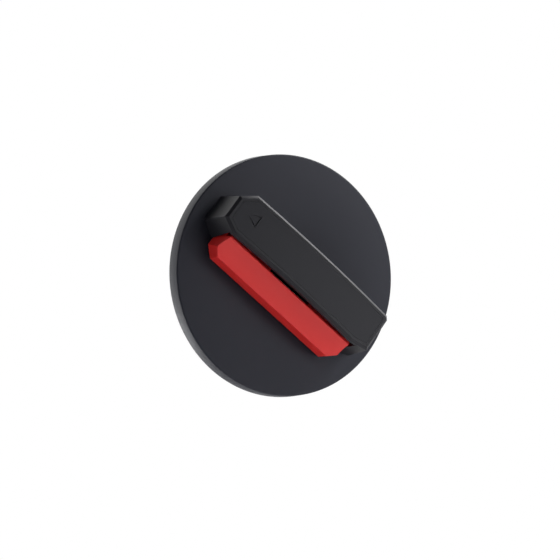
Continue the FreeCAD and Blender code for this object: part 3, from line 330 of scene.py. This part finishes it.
# threads: the ridge's half widths at root and crest as shares of the pitch, the share of its depth
# that its root is sunk into the wall, the pitches left free at each end, the turn in radians over
# which it fades in and its least share of the depth there, and the points on each turn
ROOT_HALF, CREST_HALF, ROOT_SINK, END_ROOM = 0.46, 0.10, 0.04, 0.45
FADE_TURN, FADE_LEAST, THREAD_STEPS = 1.2, 0.02, 48
WATER_WAY = (0.0, 39.4, 0.0)
# radius of the wall, depth of the ridge and pitch, in mm
PORT_THREAD = (12.06, 0.75, 1.814)
INSERT_THREAD = (2.1, 0.22, 0.8)
PORT_SPAN = (18.2, 29.6)
INSERT_SPAN = (-5.3, -0.2)


def eased(node, radius, body, slot, finer=None):
    """A copy of a CAD piece with its sharp edges eased: welded, flat faces joined, then a rounded
    bevel. finer tells which edges, by their middles, get only a share of the radius."""
    piece = bpy.data.objects.new(node + "_eased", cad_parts[node].data.copy())
    bpy.context.scene.collection.objects.link(piece)
    mesh = piece.data
    welded = bmesh.new()
    welded.from_mesh(mesh)
    bmesh.ops.remove_doubles(welded, verts=welded.verts, dist=WELD)
    bmesh.ops.dissolve_limit(
        welded, angle_limit=FLAT_WITHIN, verts=welded.verts, edges=welded.edges
    )
    weight = welded.edges.layers.float.new("bevel_weight_edge")
    for edge in welded.edges:
        if edge.calc_face_angle(0.0) > EASED_FROM:
            middle = (edge.verts[0].co + edge.verts[1].co) / 2
            edge[weight] = FINE_SHARE if finer and finer(middle) else 1.0
    welded.to_mesh(mesh)
    welded.free()
    mesh.materials.clear()
    mesh.materials.append(FINISHES[slot])
    mesh.shade_smooth()
    bevel = piece.modifiers.new("eased_edges", "BEVEL")
    bevel.width, bevel.segments, bevel.limit_method = radius, BEVEL_STEPS, "WEIGHT"
    bevel.use_clamp_overlap, bevel.miter_outer = True, "MITER_ARC"
    even = piece.modifiers.new("even_faces", "WEIGHTED_NORMAL")
    even.mode, even.weight, even.keep_sharp = "FACE_AREA_WITH_ANGLE", 60, False
    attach(piece, body)
    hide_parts(node)


def in_cover_bed(middle):
    """Whether a place on the handle lies on the bed of its cover, clear of the outer bevel."""
    across = (middle.x + middle.z) / math.sqrt(2.0) / MM
    along = (middle.x - middle.z) / math.sqrt(2.0) / MM
    raised = middle.y < -BED_HEIGHT * MM
    return raised and abs(across) < BED_HALF_WIDTH and -BED_ARROW_END < along < BED_TAIL_END


def shape(name, points, faces, slot, body, stands_for=()):
    """A mesh piece from arrays of points in metres and faces, riding on a body."""
    mesh = bpy.data.meshes.new(name)
    mesh.from_pydata(points.tolist(), [], faces)
    mesh.validate()
    mesh.shade_smooth()
    mesh.materials.append(FINISHES[slot])
    piece = bpy.data.objects.new(name, mesh)
    bpy.context.scene.collection.objects.link(piece)
    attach(piece, body)
    if stands_for:
        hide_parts(*stands_for)
    return piece


def grid_faces(rows, columns, wrap_rows, wrap_columns):
    """Four-sided faces between the neighbours of a grid of points."""
    i, j = np.meshgrid(
        np.arange(rows if wrap_rows else rows - 1),
        np.arange(columns if wrap_columns else columns - 1),
        indexing="ij",
    )
    k, m = (i + 1) % rows, (j + 1) % columns
    quads = np.stack([i * columns + j, i * columns + m, k * columns + m, k * columns + j], axis=-1)
    return quads.reshape(-1, 4).tolist()


def joined(parts):
    """Several pairs of points and faces as one, the faces counted on from part to part."""
    faces, first = [], 0
    for points, own in parts:
        faces += [[corner + first for corner in face] for face in own]
        first += len(points)
    return np.concatenate([points for points, own in parts]), faces


def rounded(outline):
    """A closed outline with each corner turned on an arc: the corner's two tangent points and
    the arc between them, worked out from the half angle of the corner."""
    outline = np.array(outline, float)
    corners, radius = outline[:, :2], outline[:, 2]
    out = []
    for k, corner in enumerate(corners):
        back = corners[k - 1] - corner
        onward = corners[(k + 1) % len(corners)] - corner
        back_length, onward_length = np.linalg.norm(back), np.linalg.norm(onward)
        back, onward = back / back_length, onward / onward_length
        half = math.acos(np.clip(back @ onward, -1, 1)) / 2
        reach = min(radius[k] / math.tan(half), 0.49 * back_length, 0.49 * onward_length)
        if reach < 1e-6:
            out.append(corner[None])
            continue
        turn = reach * math.tan(half)
        centre = corner + (back + onward) / np.linalg.norm(back + onward) * turn / math.sin(half)
        first, last = corner + back * reach - centre, corner + onward * reach - centre
        angle = math.acos(np.clip(first @ last / turn**2, -1, 1))
        t = np.linspace(0.0, 1.0, ARC_STEPS)[:, None]
        swung = np.sin((1 - t) * angle) * first + np.sin(t * angle) * last
        out.append(centre + swung / math.sin(angle))
    return np.concatenate(out)


def turned(outline, count):
    """A closed outline of (radius, y) in millimetres swung round the Y axis:
    x = radius cos t, z = radius sin t."""
    t = np.linspace(0.0, 2.0 * math.pi, count, endpoint=False)
    radius, y = outline[:, 0, None], outline[:, 1, None]
    points = np.stack([radius * np.cos(t), y + 0 * t, radius * np.sin(t)], axis=-1) * MM
    return points.reshape(-1, 3), grid_faces(len(outline), count, True, True)


def fourfold(pitch, angle):
    """Four places (x, z) on a circle: x = pitch cos t, z = pitch sin t, a quarter turn apart."""
    t = np.radians(angle + 90.0 * np.arange(4))
    return np.stack([pitch * np.cos(t), pitch * np.sin(t)], axis=1)


def cover_disc():
    """The round cover: the turned plate with its drafted rim, gasket groove, land and seats, and
    four turned bosses behind it."""
    parts = [turned(rounded(DISC_OUTLINE)[::-1], DISC_STEPS)]
    for x, z in fourfold(PANEL_PITCH, PANEL_ANGLE):
        boss, faces = turned(rounded(BOSS_OUTLINE), BOSS_STEPS)
        parts.append((boss + np.array([x, 0.0, z]) * MM, faces))
    shape("disc_moulding", *joined(parts), "disc_plastic", "housing", ["cover_disc"])


def thread(place, form, span, along="z"):
    """Inside thread: a ridge of four-sided section carried along a helix,
    (ring cos t, ring sin t, start + pitch t / 2 pi), closed at both ends. Its ring is the wall's
    radius at the root and less by the depth at the crest."""
    (radius, depth, pitch), (start, end) = form, span
    turns = (end - start) / pitch - 2 * END_ROOM
    t = np.linspace(0.0, 2.0 * math.pi * turns, int(THREAD_STEPS * turns))
    fade = np.clip(np.minimum(t, t[-1] - t) / FADE_TURN, FADE_LEAST, 1.0)
    inset = np.array([-ROOT_SINK, 1.0, 1.0, -ROOT_SINK]) * depth
    shift = np.array([-ROOT_HALF, -CREST_HALF, CREST_HALF, ROOT_HALF]) * pitch
    ring = radius - inset[None, :] * fade[:, None]
    rise = start + END_ROOM * pitch + t[:, None] * pitch / (2.0 * math.pi) + shift[None, :]
    cross, up = ring * np.cos(t)[:, None], ring * np.sin(t)[:, None]
    order = (cross, up, rise) if along == "z" else (cross, rise, -up)
    points = np.stack(order, axis=-1) + np.array(place)
    count = len(t)
    faces = grid_faces(count, 4, False, True)
    faces += [[3, 2, 1, 0], [4 * count - 4, 4 * count - 3, 4 * count - 2, 4 * count - 1]]
    return points.reshape(-1, 3) * MM, faces


def thread_piece(name, threads, slot):
    """Several threads of one metal as one piece, with every face turned outwards."""
    piece = shape(name, *joined(threads), slot, "housing")
    skin = bmesh.new()
    skin.from_mesh(piece.data)
    bmesh.ops.recalc_face_normals(skin, faces=skin.faces)
    skin.to_mesh(piece.data)
    skin.free()


eased("handle_grip", 0.35 * MM, "handle", "grip_plastic", finer=in_cover_bed)
eased("arrow_cover", 0.06 * MM, "handle", "cover_plastic")
eased("squeeze_trigger", 0.45 * MM, "trigger", "red_plastic")
cover_disc()
eased("valve_body", 0.7 * MM, "housing", "bronze")
eased("end_adapter", 0.5 * MM, "housing", "bronze")
eased("drain_plug", 0.25 * MM, "housing", "brass")
inner, outer = PORT_SPAN
port_threads = [thread(WATER_WAY, PORT_THREAD, span) for span in ((-outer, -inner), PORT_SPAN)]
thread_piece("port_threads", port_threads, "bronze")
insert_threads = [
    thread((x, 0.0, z), INSERT_THREAD, INSERT_SPAN, along="y")
    for x, z in fourfold(PANEL_PITCH, PANEL_ANGLE)
]
thread_piece("insert_threads", insert_threads, "brass")

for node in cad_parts.values():
    for slot in node.material_slots:
        slot.material = FINISHES[slot.material.name.split(".")[0]]
